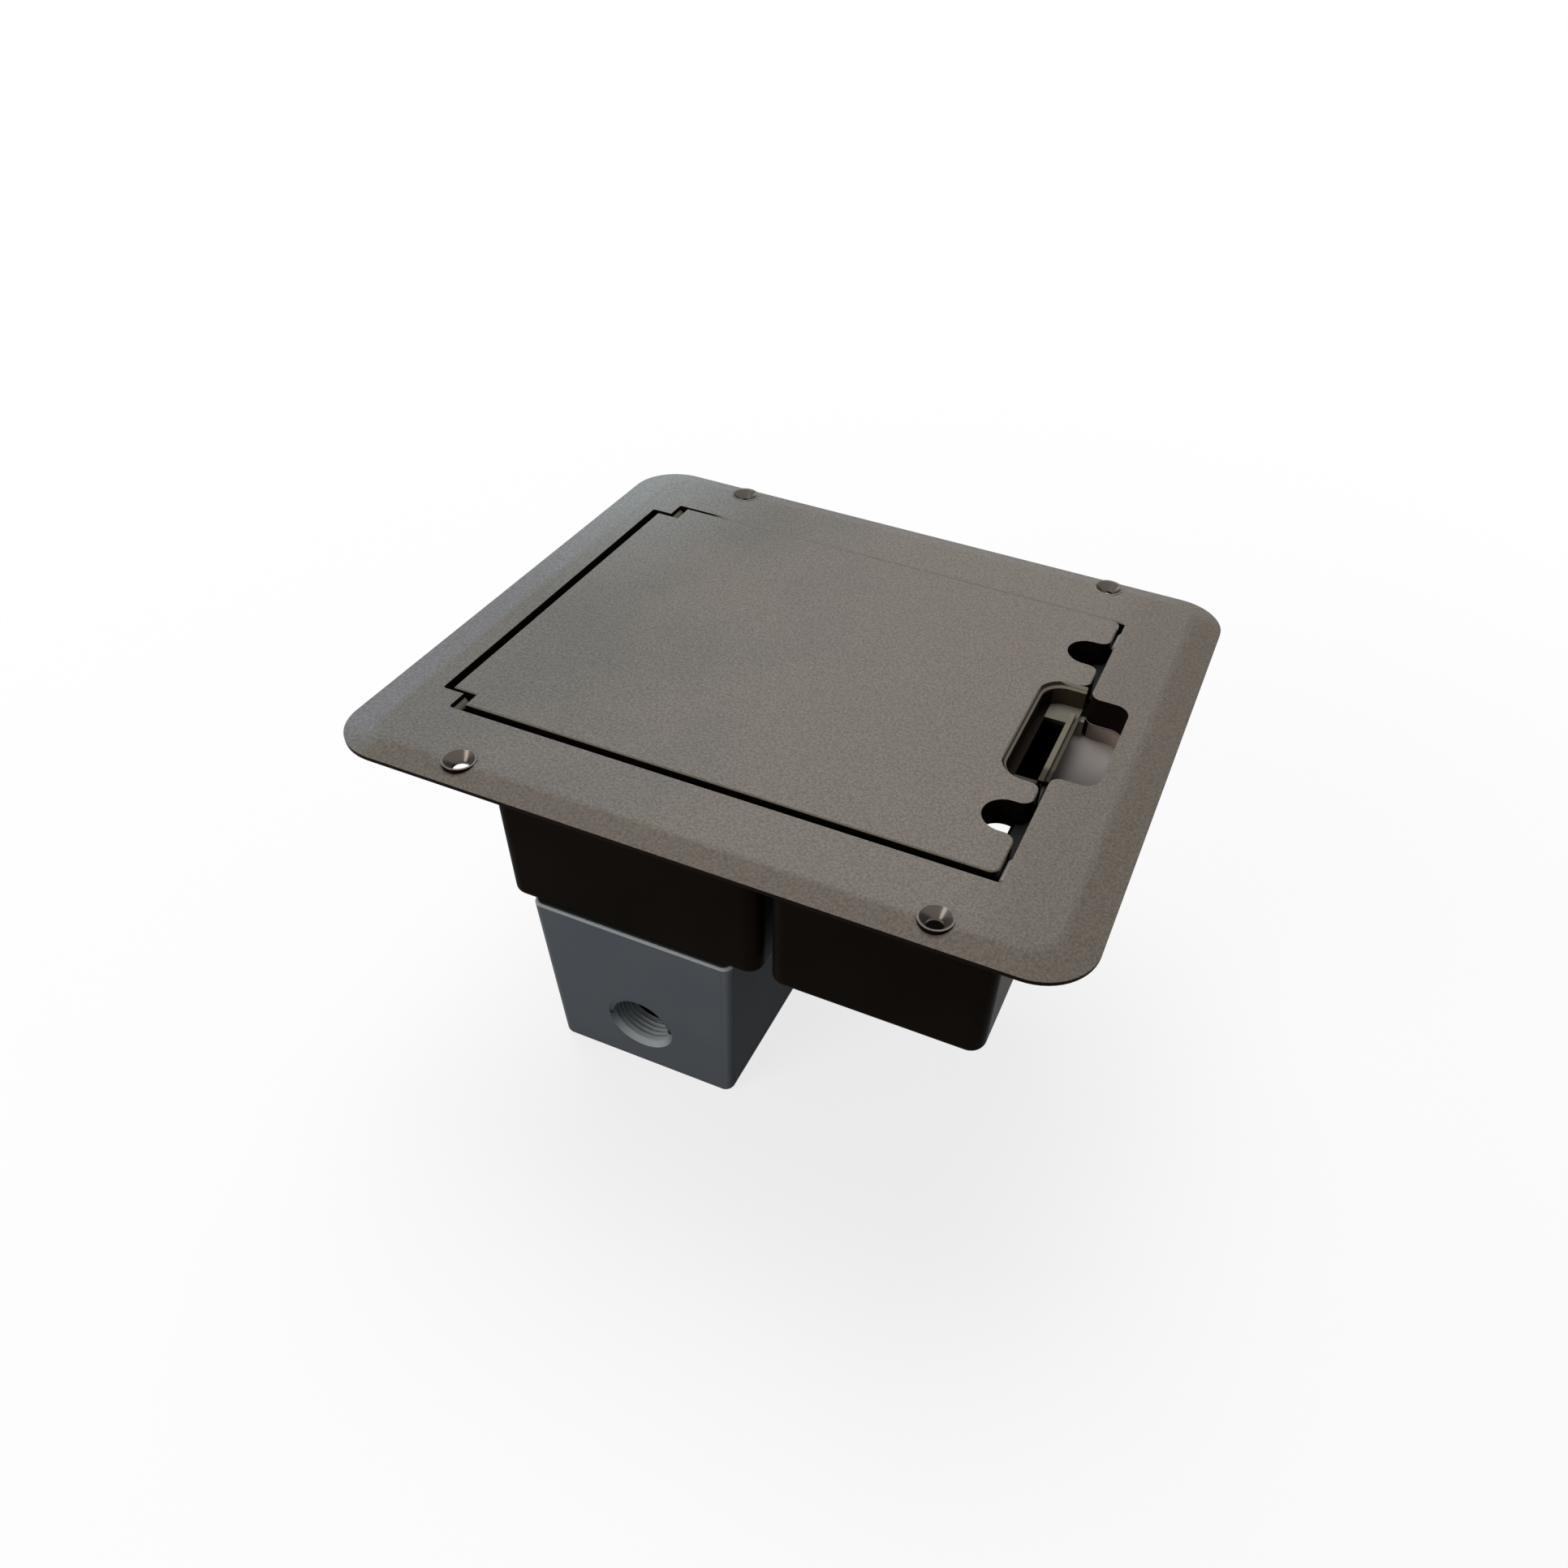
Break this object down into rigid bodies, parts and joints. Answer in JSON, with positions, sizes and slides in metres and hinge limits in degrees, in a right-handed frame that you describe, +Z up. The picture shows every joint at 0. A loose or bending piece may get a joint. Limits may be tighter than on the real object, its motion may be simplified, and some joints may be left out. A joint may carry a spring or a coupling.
{
  "type": "recessed deck outlet box",
  "caption": "Outlet box let into a deck: bevelled flange, hinged lid with a pinch latch and cord notches, one well with a protected receptacle and one for cords.",
  "frame": {"origin": "Middle of the four deck screws, on the deck surface under the flange.", "axes": "+X points to the latch end of the lid, +Y to the back (the side without the open conduit hub), +Z up, out of the deck."},
  "size_m": [0.2032, 0.1778, 0.1417],
  "materials": {
    "flange_polymer": "fine moulded texture, taupe",
    "tub_polymer": "glossy, very dark brown",
    "foam": "closed-cell foam, black",
    "seal_rubber": "soft seal, near black",
    "latch_polymer": "smooth, olive beige",
    "stainless": "plain stainless steel",
    "spring_steel": "drawn spring wire",
    "box_paint": "smooth grey paint on cast metal",
    "plug_paint": "smooth grey paint",
    "green_screw": "green coating",
    "zinc_strap": "zinc plated",
    "dark_polymer": "matte moulding, black",
    "face_polymer": "smooth moulding, dark grey",
    "black_button": "matte black",
    "red_button": "matte red",
    "lens": "clear green",
    "brass": "plain brass"
  },
  "bodies": {
    "base": {"deck_frame": "flange_polymer", "seat_plate": "tub_polymer", "receptacle_well": "tub_polymer", "cord_well": "tub_polymer", "deck_gasket": "foam", "rim_seal": "seal_rubber", "box_gasket": "seal_rubber", "cover_pad": "foam", "strike_clips": "stainless", "hinge_pins": "stainless", "tub_screws": "stainless", "box_screws": "stainless", "outlet_box": "box_paint", "hub_plugs": "plug_paint", "ground_screw": "green_screw", "receptacle_strap": "zinc_strap", "receptacle_body": "dark_polymer", "receptacle_face": "face_polymer", "status_lens": "lens", "terminal_screws": "brass", "device_screws": "zinc_strap", "cover_plate": "face_polymer", "cover_screws": "stainless"},
    "lid": {"lid": "flange_polymer", "latch_keepers": "stainless", "keeper_screws": "stainless", "latch_springs": "spring_steel"},
    "latch": {"latch_slider": "latch_polymer"},
    "test": {"test_button": "black_button"},
    "reset": {"reset_button": "red_button"}
  },
  "joints": [
    {"name": "lid_hinge", "type": "hinge", "parent": "base", "child": "lid", "pos_m": [-0.081, 0, -0.0006], "axis": [0, -1, 0], "range_deg": [0, 100], "deforming": ["strike_clips"]},
    {"name": "latch_slide", "type": "slide", "parent": "lid", "child": "latch", "axis": [-1, 0, 0], "range_m": [0, 0.005], "stiffness_N_per_m": 300, "springref_m": -0.005, "deforming": ["latch_springs"]},
    {"name": "test_press", "type": "slide", "parent": "base", "child": "test", "axis": [0, 0, -1], "range_m": [0, 0.0012], "stiffness_N_per_m": 800, "springref_m": -0.001},
    {"name": "reset_press", "type": "slide", "parent": "base", "child": "reset", "axis": [0, 0, -1], "range_m": [0, 0.0012], "stiffness_N_per_m": 800, "springref_m": -0.001}
  ]
}
